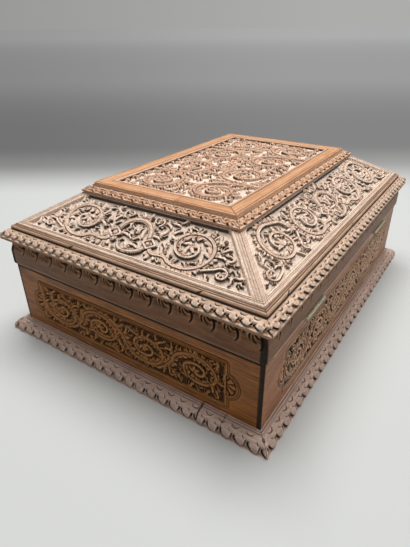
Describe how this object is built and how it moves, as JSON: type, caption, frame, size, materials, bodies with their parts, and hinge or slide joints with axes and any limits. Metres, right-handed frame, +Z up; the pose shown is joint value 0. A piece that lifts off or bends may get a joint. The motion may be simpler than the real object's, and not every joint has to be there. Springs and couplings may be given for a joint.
{
  "type": "wedding box",
  "caption": "Low rectangular carved wooden box on a moulded plinth, with a hinged lid of four carved slopes rising to a flat framed top, brass butt hinges and an inset lock.",
  "frame": {"origin": "centre of the underside, on the surface that the box stands on", "axes": "+Z up; +X along the length, to the right when facing the front; +Y to the back, where the hinges are"},
  "size_m": [0.353, 0.269, 0.137],
  "materials": {
    "end_wall_wood": "golden brown polished end walls, dark in the carving",
    "long_wall_wood": "pinkish brown worn front and back walls",
    "plinth_wood": "greyed pinkish brown, dry and worn",
    "lid_rail_wood": "dark brown, dusty in the carving",
    "cornice_wood": "orange brown band under pale carving",
    "lid_wood": "pale pinkish brown carving over a dark stippled ground",
    "plain_rail_wood": "plain orange tan wood, satin",
    "inside_wood": "plain unpolished board",
    "hinge_brass": "brass with pale green verdigris",
    "lock_brass": "dull aged brass"
  },
  "bodies": {
    "base": {"bottom_board": "inside_wood", "right_wall": "end_wall_wood", "left_wall": "end_wall_wood", "back_wall": "long_wall_wood", "front_wall": "long_wall_wood", "plinth_right": "plinth_wood", "plinth_right_middle": "plinth_wood", "plinth_right_corner": "plinth_wood", "plinth_back": "plinth_wood", "plinth_left": "plinth_wood", "plinth_front": "plinth_wood", "right_hinge_lower_leaf": "hinge_brass", "right_hinge_pin": "hinge_brass", "right_hinge_lower_screw_1": "hinge_brass", "right_hinge_lower_screw_2": "hinge_brass", "left_hinge_lower_leaf": "hinge_brass", "left_hinge_pin": "hinge_brass", "left_hinge_lower_screw_1": "hinge_brass", "left_hinge_lower_screw_2": "hinge_brass", "lock_case": "lock_brass", "lock_screw_1": "lock_brass", "lock_screw_2": "lock_brass", "keyhole_plate": "lock_brass"},
    "lid": {"lid_rail_right": "lid_rail_wood", "lid_rail_back": "lid_rail_wood", "lid_rail_left": "lid_rail_wood", "lid_rail_front": "lid_rail_wood", "cornice_right": "cornice_wood", "cornice_back": "cornice_wood", "cornice_left": "cornice_wood", "cornice_front": "cornice_wood", "slope_bead_right": "cornice_wood", "slope_bead_back": "cornice_wood", "slope_bead_left": "cornice_wood", "slope_bead_front": "cornice_wood", "slope_right": "lid_wood", "slope_back": "lid_wood", "slope_left": "lid_wood", "slope_front": "lid_wood", "top_border_right": "lid_wood", "top_border_back": "lid_wood", "top_border_left": "lid_wood", "top_border_front": "lid_wood", "top_rail_right": "plain_rail_wood", "top_rail_right_end": "plain_rail_wood", "top_rail_back": "plain_rail_wood", "top_rail_left": "plain_rail_wood", "top_rail_front": "plain_rail_wood", "top_panel": "lid_wood", "right_hinge_upper_leaf": "hinge_brass", "right_hinge_upper_screw_1": "hinge_brass", "right_hinge_upper_screw_2": "hinge_brass", "left_hinge_upper_leaf": "hinge_brass", "left_hinge_upper_screw_1": "hinge_brass", "left_hinge_upper_screw_2": "hinge_brass", "lock_link_plate": "lock_brass", "link_screw_1": "lock_brass", "link_screw_2": "lock_brass"},
    "bolt": {"lock_bolt": "lock_brass"}
  },
  "joints": [
    {"name": "lid_hinge", "type": "hinge", "parent": "base", "child": "lid", "pos_m": [0, 0.125, 0.0682], "axis": [-1, 0, 0], "range_deg": [0, 175]},
    {"name": "bolt_slide", "type": "slide", "parent": "base", "child": "bolt", "axis": [1, 0, 0], "range_m": [0, 0.005]}
  ]
}
